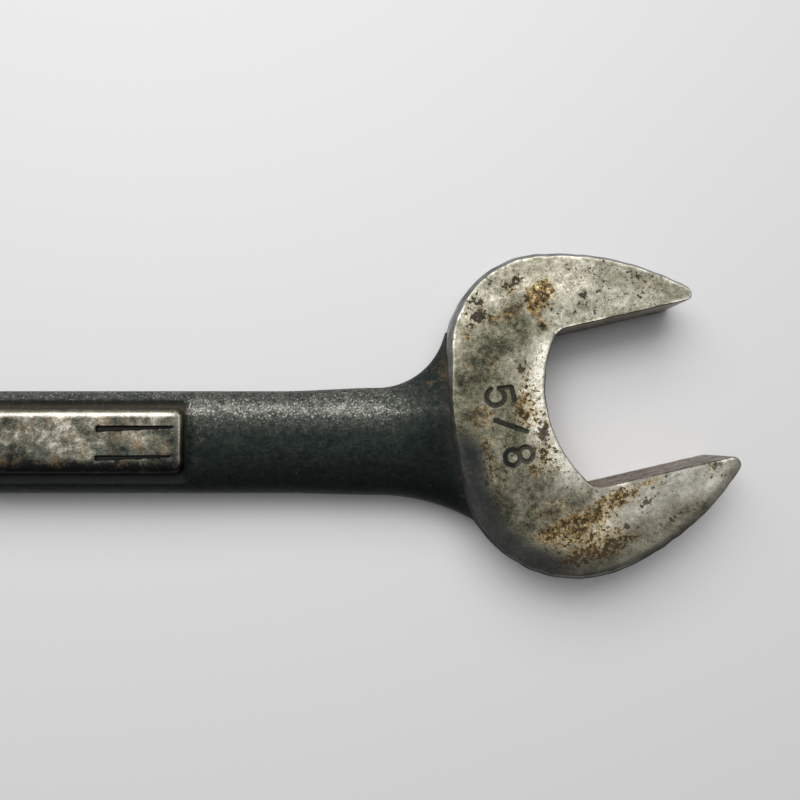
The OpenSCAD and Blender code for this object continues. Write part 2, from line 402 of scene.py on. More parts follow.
def panel_steel():
    """The raised panel: ground pale, stained green and brown, with dark grooves, and painted highlights and
    shade from its tone mask.
    """
    g = Nodes("panel_steel")
    broad = g.noise(3.0, 7, 0.72, seed=21)
    middle = g.noise(0.9, 6, 0.78, seed=22)
    grain = g.noise(0.16, 3, 0.75, seed=23)
    groove, rim = g.attr("groove"), g.attr("rim")
    t = g.add(g.sway(broad, 3.3), g.sway(middle, 1.9))
    t = g.add(g.mul(t, g.add(g.mul(rim, -0.75), 1.0)), g.sway(grain, 1.1))
    t = g.add(t, g.attr("tone"))
    colour = g.ramp(t, STAINED)
    brown = g.step(g.noise(1.7, 7, 0.8, seed=25), 0.49, 0.66)
    browned = g.mul(g.mul(brown, 0.7), g.add(g.mul(rim, -0.8), 1.0))
    colour = g.mix(browned, colour, g.mix(middle, (0.05, 0.027, 0.010), (0.30, 0.18, 0.07)))
    pit = g.step(g.noise(0.30, 3, 0.7, seed=26), 0.63, 0.70)
    colour = g.mix(g.mul(pit, 0.85), colour, (0.020, 0.012, 0.007))
    colour = g.mix(g.step(groove, 0.0, 0.45), colour, (0.005, 0.005, 0.004))
    rough = g.blend(g.most(pit, groove), g.add(0.34, g.mul(middle, 0.15)), 0.8)
    metal = g.blend(g.most(groove, g.most(pit, g.mul(brown, 0.5))), 0.85, 0.1)
    height = g.add(g.mul(grain, 0.5), g.mul(middle, 0.6))
    return g.surface(colour, rough, metal, g.bump(height, 0.05, 0.7))


GROUND = ground_steel()
FORGED = forged_steel()
PANEL = panel_steel()

# ---------------------------------------------------------------- outlines and the meshes inside them


def outward(loop):
    """Unit normals of a closed loop that runs clockwise."""
    t = np.roll(loop, -1, 0) - np.roll(loop, 1, 0)
    t /= np.linalg.norm(t, axis=1)[:, None]
    return np.stack([-t[:, 1], t[:, 0]], 1)


def face_mesh(loop, points):
    """Triangles over a loop's inside through the given inner points. The loop's points come first."""
    n = len(loop)
    every = np.concatenate([loop, points])
    edges = [(i, (i + 1) % n) for i in range(n)]
    out = delaunay_2d_cdt([Vector(q) for q in every.tolist()], edges, [], 1, 1e-7)
    origin = [ids[0] for ids in out[3]]
    used = np.array(origin)
    return [tuple(int(used[i]) for i in f) for f in out[2]]


def inner_points(loop, step, fine_boxes=(), fine_step=0.07, gap=0.6):
    """A staggered grid inside a loop, finer inside the given boxes."""
    lo, hi = loop.min(0), loop.max(0)

    def grid(a, b, s):
        xs, ys = np.arange(a[0], b[0], s), np.arange(a[1], b[1], s * 0.866)
        gx, gy = np.meshgrid(xs, ys)
        gx = gx + (np.arange(len(ys)) % 2)[:, None] * s / 2
        return np.stack([gx.ravel(), gy.ravel()], 1)

    p = grid(lo, hi, step)
    for a, b in fine_boxes:
        p = p[~((p[:, 0] > a[0]) & (p[:, 0] < b[0]) & (p[:, 1] > a[1]) & (p[:, 1] < b[1]))]
    parts = [p] + [grid(np.array(a), np.array(b), fine_step) for a, b in fine_boxes]
    p = np.concatenate(parts)
    p = p[inside(p, loop)]
    return p[loop_distance(p, loop) > gap * step]


# ---------------------------------------------------------------- open-end head

# The head's outline: arcs for the back, the two back corners, the outside of the jaws, tips and throat
BACK_R, BACK_DROP = 60.0, 4.8
CORNER_R = {1: 9.7, -1: 11.2}
JAW_R, JAW_R_X, TIP_R = 27.2, -11.8, 0.85
THROAT_R, THROAT_CORNER_R, THROAT_DEPTH = 12.7, 2.0, 10.4
HEAD_W, HEAD_BACK, HEAD_DROP = 33.2, 20.1, 0.25


def meet(c1, r1, c2, r2):
    """Where two circles cross, on the right of the way from the first to the second."""
    d = c2 - c1
    length = math.hypot(*d)
    a = (r1 * r1 - r2 * r2 + length * length) / (2 * length)
    return c1 + a * d / length + math.sqrt(r1 * r1 - a * a) * np.array([d[1], -d[0]]) / length


def head_side(side):
    """One side of the head as drawn for the upper jaw: outside, tip, then the gap, with a tag for it."""
    corner_r = CORNER_R[side]
    back = np.array([BACK_R - HEAD_BACK, -side * BACK_DROP])
    jaw = np.array([JAW_R_X, HEAD_W / 2 - JAW_R - side * HEAD_DROP])
    corner = meet(back, BACK_R - corner_r, jaw, JAW_R - corner_r)
    start = 180 - side * math.degrees(math.asin(BACK_DROP / BACK_R))
    tip_y = JAW_HALF + TIP_R
    tip = np.array([jaw[0] + math.sqrt((JAW_R - TIP_R) ** 2 - (tip_y - jaw[1]) ** 2), tip_y])
    throat = np.array([THROAT_R - THROAT_DEPTH, 0.0])
    bend_y = JAW_HALF - THROAT_CORNER_R
    bend = np.array([throat[0] - math.sqrt((THROAT_R - THROAT_CORNER_R) ** 2 - bend_y**2), bend_y])
    outer = np.concatenate([
        arc(back, BACK_R, start, heading(corner - back)),
        arc(corner, corner_r, heading(corner - back), heading(corner - jaw)),
        arc(jaw, JAW_R, heading(corner - jaw), heading(tip - jaw)),
    ])
    nose = arc(tip, TIP_R, heading(tip - jaw), -90, 0.09)
    gap = np.concatenate([
        line((tip[0], JAW_HALF), (bend[0], JAW_HALF)),
        arc(bend, THROAT_CORNER_R, 90, heading(bend - throat), 0.12),
        arc(throat, THROAT_R, heading(bend - throat), 180),
    ])
    tag = np.concatenate([np.zeros(len(outer)), np.linspace(0, 1, len(nose)), np.ones(len(gap))])
    return np.concatenate([outer, nose, gap]), tag


def head_loop():
    """The whole outline, clockwise, and how much each point belongs to the gap."""
    up, up_tag = head_side(1)
    low, low_tag = head_side(-1)
    end = np.array([[THROAT_R - THROAT_DEPTH - THROAT_R, 0.0]])
    low = low[1:][::-1] * np.array([1, -1])
    return np.concatenate([up, end, low]), np.concatenate([up_tag, [1.0], low_tag[1:][::-1]])


OUTLINE, GAP_TAG = head_loop()

# Strokes of the size stamp in the jaws' frame. Its glyphs read across the jaws with their tops along them.
STROKE_HALF = 0.20


def glyph_arc(cx, cy, rx, ry, start=0.0, end=360.0):
    """An oval stroke or a part of one, as points."""
    a = np.radians(np.linspace(start, end, 26))
    return np.stack([cx + rx * np.cos(a), cy + ry * np.sin(a)], 1)


def glyph(strokes, along, across, turn):
    """Moves strokes drawn with x to the right and y up to their place on the face."""
    c, s = math.cos(math.radians(turn)), math.sin(math.radians(turn))
    out = []
    for q in strokes:
        up = q[:, 1] * c + q[:, 0] * s
        right = q[:, 0] * c - q[:, 1] * s
        out.append(np.stack([along + up, across - right], 1))
    return out


FIVE = [
    np.array([(0.65, 1.80), (-0.64, 1.71), (-0.73, 1.2), (-0.74, 0.50)]),
    glyph_arc(0, 0, 0.86, 0.88, 146, -158),
]
EIGHT = [glyph_arc(0, 0, 0.78, 0.72), glyph_arc(0, 1.38, 0.72, 0.66)]
SLASH = [np.array([(-15.65, 0.68), (-12.85, -1.10)])]
STAMP = glyph(FIVE, -15.08, 2.95, -3) + SLASH + glyph(EIGHT, -14.84, -3.26, 1)
# The stamp's surroundings, where the face's mesh is finer
STAMP_BOXES = [((-16.5, 1.6), (-12.8, 4.2)), ((-16.0, -1.5), (-12.5, 1.1)), ((-16.0, -4.4), (-12.4, -2.1))]
STAMP_DEPTH = 0.30


def stamp_depth(q):
    """0 to 1 over the stamped strokes, for points in the jaws' frame."""
    depth = np.zeros(len(q))
    near = (np.abs(q - np.array([-14.4, 0.0])) < np.array([2.6, 4.8])).all(1)
    for s in STAMP:
        d = segment_distance(q[near], s[:-1], s[1:]).min(1)
        depth[near] = np.maximum(depth[near], 1 - smooth(d, STROKE_HALF * 0.5, STROKE_HALF * 1.3))
    return depth


def blob(q, x, y, rx, ry=None, turn=0.0):
    """1 at the middle of an ellipse, 0.5 at its edge, 0 well outside."""
    ry = ry or rx
    c, s = math.cos(math.radians(turn)), math.sin(math.radians(turn))
    dx, dy = q[:, 0] - x, q[:, 1] - y
    d = np.hypot((dx * c + dy * s) / rx, (-dx * s + dy * c) / ry)
    return 1 - smooth(d, 0.45, 1.55)


def blobs(q, rows):
    """The strongest of a table's marks at each point."""
    out = np.zeros(len(q))
    for row in rows:
        weight, shape = row[0], row[1:]
        out = np.maximum(out, weight * blob(q, *shape))
    return out


# Marks on the head's faces, in the jaws' frame: weight, x, y, half length, half width, turn
DARK = [
    (0.24, -15.4, 7.8, 2.2, 1.7, 0), (0.30, -12.2, 8.6, 2.4, 1.6, 5), (0.26, -17.0, 5.2, 1.3, 2.0, 0),
    (0.22, -15.0, 4.6, 1.6, 1.8, 0), (0.32, -18.6, 0.6, 1.3, 4.4, 0), (0.16, -17.6, 5.2, 0.9, 0.9, 0),
    (0.14, -17.0, 1.4, 0.9, 1.4, 0), (0.16, -15.0, -0.2, 2.2, 3.0, 0), (0.14, -13.6, 0.0, 1.4, 3.6, 0),
    (0.30, -15.8, -6.4, 1.8, 3.4, 15), (0.18, -12.6, -7.4, 1.8, 1.3, 0), (0.26, -9.5, -8.3, 1.5, 0.9, 10),
    (0.20, -13.2, -9.8, 2.0, 1.4, 0), (0.12, -14.6, -4.0, 1.2, 2.0, 0), (0.22, -14.0, 10.6, 0.9, 1.2, 0),
    (0.12, -12.7, 11.6, 0.8, 0.7, 0), (0.26, -14.9, 7.1, 1.6, 0.8, 0), (0.14, -12.9, 6.4, 0.9, 1.2, 0),
    (0.24, -18.4, -4.6, 0.9, 3.4, 8), (0.24, -16.7, -8.0, 1.0, 1.8, 20), (0.26, -15.6, -10.6, 1.2, 1.0, 0),
    (0.18, -9.5, -9.4, 0.9, 0.5, 0), (0.22, -11.2, 10.6, 2.4, 1.2, 0),
]
LIGHT = [
    (0.14, -6.4, 12.6, 3.5, 1.6, -6), (0.12, -13.6, 11.9, 1.6, 1.2, 0), (0.16, -11.4, -12.8, 1.4, 0.9, 0),
    (0.42, 1.0, -9.6, 5.0, 1.5, 10), (0.34, -5.2, -10.6, 2.6, 1.7, 14), (0.12, -12.2, -10.8, 2.2, 1.0, 0),
    (0.12, -17.6, 8.4, 0.6, 2.2, 10), (0.16, -0.9, 10.1, 4.2, 1.2, -4), (0.12, -5.2, 11.6, 0.8, 0.8, 0),
    (0.26, -12.5, -0.6, 0.9, 2.6, 0), (0.12, -15.3, -6.6, 0.9, 2.0, 12), (0.34, -8.2, -12.4, 2.0, 0.8, 6),
    (0.32, -9.0, -13.9, 1.8, 0.7, 6), (0.26, 4.0, -10.6, 1.6, 0.9, 30), (0.10, -14.4, 6.2, 0.7, 0.9, 0),
    (0.14, -2.0, 8.8, 4.5, 0.5, 0),
]
AMBER = [
    (1.00, -8.5, 12.0, 1.5, 1.2, 30), (0.80, -9.4, 10.7, 0.6, 1.0, 20), (0.66, -11.8, 10.8, 1.6, 0.7, 10),
    (0.52, -13.4, 10.4, 0.8, 0.6, 0), (0.70, -9.0, 9.0, 0.5, 0.9, 10), (0.62, -16.6, 9.4, 0.4, 0.6, 20),
    (0.58, -10.5, -11.1, 4.2, 1.5, 10), (0.58, -6.2, -9.6, 2.6, 1.0, 14), (0.52, -2.5, -8.6, 1.8, 0.35, 4),
    (0.60, -13.1, -11.4, 1.6, 1.0, 0), (0.40, -12.3, -9.0, 2.5, 1.0, 0), (0.50, -13.1, -5.0, 0.6, 0.8, 0),
    (0.50, -16.8, 1.3, 1.5, 1.4, 0), (0.36, -17.1, -1.3, 1.0, 1.0, 0), (0.50, -12.6, 1.2, 1.0, 1.6, 0),
    (0.42, -14.4, 6.3, 0.6, 1.0, 0), (0.40, -16.9, 6.2, 0.7, 1.5, 0), (0.42, -8.5, -12.9, 3.6, 1.5, 8),
]
SPOTS = [
    (0.85, -14.8, 11.1, 0.75, 0.6, 0), (0.75, -16.0, 10.2, 0.4, 0.6, 20), (0.62, -10.5, 13.7, 0.6, 0.45, 20),
    (0.60, -11.6, 13.4, 0.6, 0.3, 20), (0.62, -13.0, 14.1, 0.4, 0.3, 20), (0.55, -14.6, 12.8, 0.6, 0.7, 0),
    (0.70, -4.3, 10.9, 0.50, 0.5, 0), (0.65, -2.6, 12.4, 0.25, 0.25, 0), (0.70, -3.3, 9.2, 0.28, 0.28, 0),
    (0.65, -5.5, 9.3, 0.25, 0.25, 0), (0.55, -2.7, 10.9, 0.35, 0.2, 0), (0.65, 1.1, 11.8, 1.1, 0.2, -26),
    (0.45, 1.3, 9.6, 0.5, 0.4, 0), (0.60, -4.6, 8.35, 0.8, 0.2, 0), (0.75, -9.0, 8.8, 0.35, 0.5, 0),
    (0.70, -12.1, 5.1, 0.4, 0.6, 0), (0.60, -11.3, -1.6, 0.6, 0.8, 0), (0.60, -3.2, -10.5, 0.9, 0.25, 20),
    (0.70, -5.5, -12.3, 0.3, 0.5, 20), (0.50, -0.7, -12.5, 1.0, 0.35, 15), (0.60, 3.9, -7.9, 0.6, 0.15, 0),
    (0.50, 4.7, -8.5, 0.6, 0.5, 0), (0.34, -9.3, -14.3, 2.8, 0.8, 6), (0.30, -6.3, -13.7, 1.4, 0.7, 14),
]
DENSE = [
    (1.10, -9.2, -14.1, 4.4, 0.9, 8), (0.62, -9.6, -12.5, 4.0, 1.2, 8), (0.80, -10.0, -10.9, 4.2, 0.9, 10),
    (0.85, -11.5, -3.6, 1.2, 2.0, 10), (0.75, -11.3, -1.2, 0.9, 2.2, 0), (0.65, -11.8, 3.0, 1.0, 2.4, 0),
    (0.70, -12.6, 0.9, 1.0, 1.6, 0), (0.60, -10.0, -11.0, 3.2, 1.2, 10), (0.80, -6.0, -9.6, 2.8, 0.8, 14),
    (0.50, -3.2, -10.4, 1.5, 0.7, 18), (0.60, -10.8, 13.4, 1.6, 0.8, 20), (0.50, -15.0, 11.5, 1.4, 1.6, 0),
    (0.24, -3.6, 11.0, 3.4, 2.4, 0), (0.30, 2.0, 10.6, 2.6, 1.0, -20), (0.50, 4.2, -8.8, 1.2, 1.0, 0),
    (0.45, -17.0, -4.0, 1.4, 3.0, 0), (0.55, -8.4, 11.6, 1.6, 1.4, 0),
]


def summed(q, rows):
    """All of a table's marks added up at each point."""
    return sum(row[0] * blob(q, *row[1:]) for row in rows)


# How bright the face is, and how much more in the worn band round the throat and in the painted highlight
# along the upper outer edge, which is partly wear
FACE_TONE, BAND_TONE, EDGE_HIGHLIGHT_TONE = 0.63, 0.46, 0.40
FEWEST_PITS = 0.13


def face_marks(q, edge):
    """Painted masks of the head's faces. edge is each point's distance to the outline."""
    to_throat = np.hypot(q[:, 0] - (THROAT_R - THROAT_DEPTH), q[:, 1]) - THROAT_R
    band = (1 - smooth(to_throat, 0.7, 2.7)) * (1 - smooth(np.abs(q[:, 1] + 0.5), 6.0, 9.5))
    # painted highlight along the upper outer edge, partly wear
    wear_and_highlight = (1 - smooth(edge, 0.05, 0.3)) * smooth(q[:, 1], 2.0, 8.0) * (q[:, 0] < 7)
    tone = FACE_TONE - summed(q, DARK) + summed(q, LIGHT) + BAND_TONE * band + EDGE_HIGHLIGHT_TONE * wear_and_highlight
    # painted shade on the rolled edge of the lower back and on the thin edge under the lower jaw
    low = smooth(q[:, 1], 3.0, -3.0) * smooth(q[:, 0], -7.0, -14.0)
    low_edge_shade = low * smooth(edge, 3.9, 1.0)
    under = smooth(q[:, 1], -7.0, -10.0) * smooth(edge, 1.3, 0.1)
    low_edge_shade = np.maximum(low_edge_shade, under * (0.9 - 0.6 * smooth(q[:, 0], -1.0, 3.0)))
    return {
        "tone": np.clip(tone, 0, 1.2),
        "amber": blobs(q, AMBER),
        "spots": blobs(q, SPOTS),
        "pits": np.maximum(blobs(q, DENSE), FEWEST_PITS),
        "low_edge_shade": low_edge_shade,
    }


HEAD_MASKS = ("wall", "inner", "tone", "amber", "spots", "pits", "low_edge_shade", "groove")


def open_end_head():
    """The head: a wall and an eased edge round the outline, and two faces with the stamp in the upper one."""
    half_t = HEAD_T / 2
    normal = outward(OUTLINE)
    gap = GAP_TAG
    # the lower back is rolled over softly, the rest of the outside has a crisp edge
    soft = smooth(OUTLINE[:, 1], -2.0, -9.0) * (1 - gap)
    upper = smooth(OUTLINE[:, 1], 2.0, 8.0)
    edge_in = (0.22 + 0.26 * upper + 0.10 * soft) * (1 - gap) + 0.10 * gap
    edge_h = (0.70 + 0.25 * upper) * (1 - gap) + 0.10 * gap
    draft = 0.15 * (1 - gap)
    rough = Waves(2.2)(OUTLINE) * 0.05 * (1 - 0.6 * gap)

    wall_steps, edge_steps = 9, 5
    rings, tags = [], []
    for j in range(wall_steps + 1):
        f = j / wall_steps
        z = (half_t - edge_h) * f
        inset = draft * (f - 1)
        rings.append((OUTLINE - normal * (inset + rough)[:, None], z))
        tags.append(np.ones(len(OUTLINE)))
    for j in range(1, edge_steps + 1):
        f, a = j / edge_steps, math.radians(90 * j / edge_steps)
        z = half_t - edge_h + edge_h * (f * (1 - soft) + math.sin(a) * soft)
        inset = edge_in * (f * (1 - soft) + (1 - math.cos(a)) * soft)
        rings.append((OUTLINE - normal * (inset + rough)[:, None], z))
        tags.append((1 - smooth(f, 0.1, 0.9)) * soft + (f < 1) * (1 - soft))

    n = len(OUTLINE)
    rim = rings[-1][0]
    points = inner_points(rim, 0.24, STAMP_BOXES, 0.075)
    tris = face_mesh(rim, points)
    wave, ripple = Waves(9.0, 30), Waves(2.4, 40)
    outside = OUTLINE[gap < 0.3]

    def outer_distance(q, chunk=2000):
        """Distance from each point to the outline's outer part."""
        parts = []
        for i in range(0, len(q), chunk):
            parts.append(np.linalg.norm(q[i : i + chunk, None] - outside[None], axis=2).min(1))
        return np.concatenate(parts)

    def relief(q, edge):
        """The face's height over its plane: faintly wavy, and rolled down to the lower edge."""
        low = smooth(q[:, 1], -3.0, -10.0)
        roll = smooth(edge, 4.2, 0.2) ** 2 * low * smooth(q[:, 0], -3.0, -10.0) * 0.55
        roll = roll + smooth(edge, 1.3, 0.0) ** 2 * low * 0.14
        return 0.05 * wave(q) + 0.012 * ripple(q) - roll

    rim_drop = relief(rim, outer_distance(rim))

    verts, faces = [], []
    cols = {key: [] for key in HEAD_MASKS}

    def add_ring(p, z, wall, up):
        verts.append(np.column_stack([from_jaws(p), np.broadcast_to(z, len(p)) * (1 if up else -1)]))
        for key, values in face_marks(p, np.zeros(len(p))).items():
            cols[key].append(values)
        cols["wall"].append(wall)
        cols["inner"].append(GAP_TAG if len(p) == n else np.zeros(len(p)))
        cols["groove"].append(np.zeros(len(p)))

    starts = {}
    for up in (True, False):
        for j in range(0 if up else 1, len(rings)):
            starts[up, j] = sum(len(v) for v in verts)
            share = j / (len(rings) - 1)
            add_ring(rings[j][0], rings[j][1] + rim_drop * share**3, tags[j], up)
    starts[False, 0] = starts[True, 0]
    for up in (True, False):
        for j in range(len(rings) - 1):
            a, b = starts[up, j], starts[up, j + 1]
            for i in range(n):
                k = (i + 1) % n
                quad = (a + i, a + k, b + k, b + i)
                faces.append(quad[::-1] if up else quad)
        # the flat of the face
        edge = outer_distance(points)
        base = sum(len(v) for v in verts)
        cut = stamp_depth(points) if up else np.zeros(len(points))
        z = half_t + relief(points, edge) - STAMP_DEPTH * cut
        verts.append(np.column_stack([from_jaws(points), z if up else -z]))
        for key, values in face_marks(points, edge).items():
            cols[key].append(values)
        cols["wall"].append(np.zeros(len(points)))
        cols["inner"].append(np.zeros(len(points)))
        cols["groove"].append(cut)
        last = starts[up, len(rings) - 1]
        for t in tris:
            ids = tuple(last + i if i < n else base + i - n for i in t)
            faces.append(ids if up else ids[::-1])
    masks = {key: np.concatenate(values) for key, values in cols.items()}
    nodes = ("upper_jaw", "lower_jaw", "throat")
    return build("open_end_head", np.concatenate(verts), faces, GROUND, nodes, masks)


open_end_head()

# ---------------------------------------------------------------- forged shank with both necks

SHANK_ENDS = (-13.5, -167.2)
# where the neck starts to flare, and each side's flare: its radius and how far it runs
FLARE_X = -27.2
FLARE_UP_R, FLARE_UP_RUN = 7.2, 7.05
FLARE_LOW_R, FLARE_LOW_RUN = 20.5, 12.2
PANEL_END, PANEL_LENGTH = -46.5, 88.0
PANEL_HALF_W, PANEL_Y = 3.25, 0.08
CHANNEL_DEPTH = 0.75


def half_widths(x):
    """How far the shank reaches to each side of its centre line."""
    taper = smooth(x, -37.0, -27.0)
    t_up = np.clip(x - FLARE_X, 0, FLARE_UP_RUN)
    up = SHANK_HALF_W + 0.35 * taper + FLARE_UP_R - np.sqrt(FLARE_UP_R**2 - t_up**2)
    t_low = np.clip(x - FLARE_X, 0, FLARE_LOW_RUN)
    low = SHANK_HALF_W + 0.20 * taper + FLARE_LOW_R - np.sqrt(FLARE_LOW_R**2 - t_low**2)
    # the shank widens again on its way into the ring
    away = np.clip(RING_X + 21 - x, 0, None)
    widen = 0.11 * away + 0.018 * away**2
    return up + widen, low + widen


def centre_z(x):
    """The mid-plane bends up into the ring's."""
    ring = RING_RISE - (x - RING_X) * math.tan(RING_TILT)
    bend = 1.2
    return bend * np.log1p(np.exp(np.clip(ring / bend, -30, 30)))


def shank_stations():
    """Places of the cross sections: closest at the panel's ends, coarse where nothing changes."""
    stations = [SHANK_ENDS[0]]
    while stations[-1] > SHANK_ENDS[1]:
        x = stations[-1]
        near_end = abs(x - PANEL_END) < 2.5 or abs(x - PANEL_END + PANEL_LENGTH) < 2.5
        stations.append(x - (0.11 if near_end else 0.2 if x > PANEL_END or x < -150 else 0.5))
    return np.array(stations)


# Rust in the shank's frame: weight, x, y, half length, half width, turn
NECK_RUST = [
    (0.45, -20.5, 7.2, 3.0, 1.6, 50), (0.35, -22.0, 4.6, 2.5, 1.2, 0),
    (0.35, -45.2, 0.8, 0.9, 2.2, 0), (0.30, -17.9, -4.0, 2.0, 2.5, 0),
]


def forged_shank():
    """The shank with both necks: rounded sections, with a channel pressed in round each panel."""
    x = shank_stations()
    up, low = half_widths(x)
    zc = centre_z(x)
    half_t = SHANK_T / 2 + 0.5 * smooth(x, -156, -166)
    # across: close together at the round edges
    m = 110
    th = np.linspace(0, math.pi, m, endpoint=False)
    c, s = np.cos(th), np.sin(th)
    panel_start = PANEL_END - PANEL_LENGTH
    flat = smooth(x, PANEL_END + 5, PANEL_END - 2) * smooth(x, panel_start - 5, panel_start + 2)
    squareness = 2.15 + 1.3 * flat
    y1 = np.sign(c)[None] * np.abs(c)[None] ** (2 / squareness)[:, None]
    z1 = np.abs(s)[None] ** (2 / 2.2)
    reach = np.where(y1 > 0, up[:, None], low[:, None])
    yy = y1 * reach
    zz = z1 * half_t[:, None]
    xx = np.broadcast_to(x[:, None], yy.shape)
    p = np.stack([xx.ravel(), yy.ravel()], 1)
    # how far each point is outside the head, where the skin rises to meet its wall
    outline = from_jaws(OUTLINE)
    near = p[:, 0] > -24
    d = np.full(len(p), 9.0)
    d[near] = loop_distance(p[near], outline) * np.where(inside(p[near], outline), -1, 1)
    wall = d + 0.45
    r = 0.9
    rise = np.where(wall < r, r - np.sqrt(np.clip(r * r - (r - np.clip(wall, 0, r)) ** 2, 0, None)), 0)
    # channel round the panel
    half_l = PANEL_LENGTH / 2
    bx = np.abs(p[:, 0] - (PANEL_END - half_l)) - half_l
    by = np.abs(p[:, 1] - PANEL_Y) - PANEL_HALF_W
    out = np.hypot(np.clip(bx, 0, None), np.clip(by, 0, None)) + np.minimum(np.maximum(bx, by), 0)
    dip = CHANNEL_DEPTH * smooth(out, 1.15, 0.25)
    beside = smooth(p[:, 0], PANEL_END + 0.5, PANEL_END - 0.3)
    dip = dip * (0.35 + 0.65 * beside)
    hollow = smooth(out, 1.2, 0.2) * beside
    lump, pock = Waves(3.2, 60), Waves(1.1, 60)
    skin = 0.03 * lump(p) + 0.02 * pock(p)
    # painted sheen: brightest where the round top turns to the light, darkest below
    y = p[:, 1]
    painted_sheen = 0.10 - 0.06 * smooth(y, -3.4, -4.4) + 0.10 * smooth(y, -3.0, 0.3)
    painted_sheen = painted_sheen + 0.26 * smooth(y, 0.2, 2.4) + 0.12 * smooth(y, 2.0, 3.2)
    painted_sheen = painted_sheen + 0.26 * np.exp(-(((y - 3.35) / 0.65) ** 2)) + 0.02 * smooth(y, 3.9, 4.3)
    # less of the painted sheen towards the head and in the channel
    painted_sheen = painted_sheen * (1 - 0.6 * smooth(p[:, 0], -27.0, -21.0))
    painted_sheen = painted_sheen * (1 - smooth(out, 1.3, 0.7) * beside * np.where(y > 0, 0.6, 1.0))
    rise, dip, skin = (v.reshape(yy.shape) for v in (rise, dip, skin))
    top = zz * (1 - dip / (SHANK_T / 2)) + rise * (zz > 0.3 * half_t[:, None]) + skin * np.sqrt(z1)
    # painted shade in the channel round the panel and in the crease where the skin rises to the head's wall
    shade = np.maximum(hollow, 0.85 * smooth(d, 1.3, -0.2)).reshape(yy.shape)
    rusty = blobs(p, NECK_RUST).reshape(yy.shape)
    painted_sheen = painted_sheen.reshape(yy.shape)

    rows, n = len(x), 2 * m
    grid = np.zeros((rows, n, 3))
    # the far edge, at the start of the lower half, is the mirror of the first column
    grid[:, :m, 0] = xx
    grid[:, :m, 1] = yy
    grid[:, :m, 2] = zc[:, None] + top
    mirror_y = -np.sign(c)[None] * np.abs(c)[None] ** (2 / squareness)[:, None]
    reach_m = np.where(mirror_y > 0, up[:, None], low[:, None])
    grid[:, m:, 0] = xx
    grid[:, m:, 1] = mirror_y * reach_m
    # the underside has the same relief as the top, found by the column that lies above it
    under = np.empty_like(top)
    under_shade, under_rust, under_sheen = (np.empty_like(shade) for _ in range(3))
    order = (m - np.arange(m)) % m
    for new, old in ((under, top), (under_shade, shade), (under_rust, rusty), (under_sheen, painted_sheen)):
        new[:] = old[:, order]
    grid[:, m:, 2] = zc[:, None] - under
    grid[:, m, 2] = zc
    verts = grid.reshape(-1, 3)
    faces = []
    for i in range(rows - 1):
        a, b = i * n, (i + 1) * n
        faces += [(a + j, a + (j + 1) % n, b + (j + 1) % n, b + j) for j in range(n)]
    faces.append(tuple(range(n))[::-1])
    faces.append(tuple((rows - 1) * n + j for j in range(n)))
    masks = {
        "hollow": np.concatenate([shade, under_shade], 1).ravel(),
        "rusty": np.concatenate([rusty, under_rust], 1).ravel(),
        "painted_sheen": np.concatenate([painted_sheen, under_sheen], 1).ravel(),
    }
    nodes = ("shank", "open_end_neck", "box_end_neck")
    return build("forged_shank", verts, faces, FORGED, nodes, masks, sharp=60)


forged_shank()

# ---------------------------------------------------------------- raised panels


GROOVE_DEPTH = 0.32


